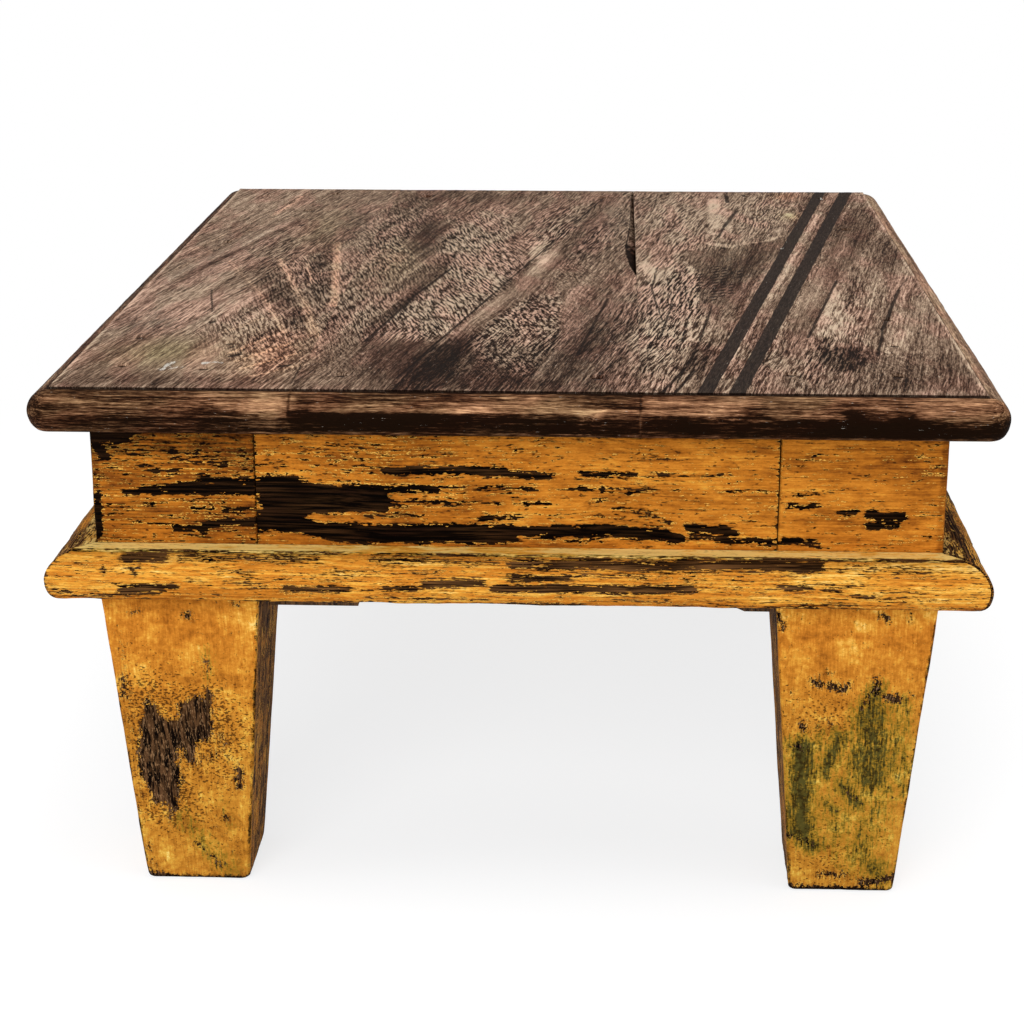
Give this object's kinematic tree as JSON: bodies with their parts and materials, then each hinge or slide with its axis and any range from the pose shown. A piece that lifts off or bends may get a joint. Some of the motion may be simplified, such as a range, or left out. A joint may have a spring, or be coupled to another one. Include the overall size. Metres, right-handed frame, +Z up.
{
  "type": "low wooden riser",
  "caption": "Low rectangular wooden riser with a moulded plank top on a painted framed base with tapered square legs.",
  "frame": {"origin": "middle of the footprint, on the floor under the feet", "axes": "+Z up; -Y towards the side seen in front in the picture; +X to the right seen from the front"},
  "size_m": [0.4, 0.5, 0.234],
  "materials": {
    "top_wood": "old dark grey-brown hardwood, sawn and worn, waxed",
    "painted_wood": "ochre yellow paint worn through to dark wood",
    "bare_wood": "unpainted rough-sawn wood",
    "pin_wood": "split hardwood pegs and dowels",
    "nail_iron": "dark oxidised iron nails"
  },
  "bodies": {
    "root": {"block_back_left": "bare_wood", "block_back_right": "bare_wood", "block_front_left": "bare_wood", "block_front_right": "bare_wood", "leg_back_left": "painted_wood", "leg_back_right": "painted_wood", "leg_front_left": "painted_wood", "leg_front_right": "painted_wood", "peg_back_at_back_left": "pin_wood", "peg_back_at_back_right": "pin_wood", "peg_front_at_front_left": "pin_wood", "peg_front_at_front_right": "pin_wood", "peg_left_at_back_left": "pin_wood", "peg_left_at_front_left": "pin_wood", "peg_right_at_back_right": "pin_wood", "peg_right_at_front_right": "pin_wood", "rail_back": "painted_wood", "rail_front": "painted_wood", "rail_left": "painted_wood", "rail_right": "painted_wood", "skirt_back": "painted_wood", "skirt_front": "painted_wood", "skirt_left": "painted_wood", "skirt_nail_back_at_back_left": "nail_iron", "skirt_nail_back_at_back_right": "nail_iron", "skirt_nail_front_at_front_left": "nail_iron", "skirt_nail_front_at_front_right": "nail_iron", "skirt_nail_left_at_back_left": "nail_iron", "skirt_nail_left_at_front_left": "nail_iron", "skirt_nail_right_at_back_right": "nail_iron", "skirt_nail_right_at_front_right": "nail_iron", "skirt_right": "painted_wood", "top_board_centre": "top_wood", "top_board_left": "top_wood", "top_board_right": "top_wood", "top_dowel_back_left": "pin_wood", "top_dowel_back_right": "pin_wood", "top_dowel_front_left": "pin_wood", "top_dowel_front_right": "pin_wood", "top_nail_back_centre_left": "nail_iron", "top_nail_back_centre_right": "nail_iron", "top_nail_back_left_corner": "nail_iron", "top_nail_back_left_deep": "nail_iron", "top_nail_back_left_inner": "nail_iron", "top_nail_back_left_side": "nail_iron", "top_nail_back_right_corner": "nail_iron", "top_nail_back_right_deep": "nail_iron", "top_nail_back_right_inner": "nail_iron", "top_nail_back_right_side": "nail_iron", "top_nail_front_centre_left": "nail_iron", "top_nail_front_centre_right": "nail_iron", "top_nail_front_left_corner": "nail_iron", "top_nail_front_left_deep": "nail_iron", "top_nail_front_left_inner": "nail_iron", "top_nail_front_left_side": "nail_iron", "top_nail_front_right_corner": "nail_iron", "top_nail_front_right_deep": "nail_iron", "top_nail_front_right_inner": "nail_iron", "top_nail_front_right_side": "nail_iron"}
  },
  "joints": []
}
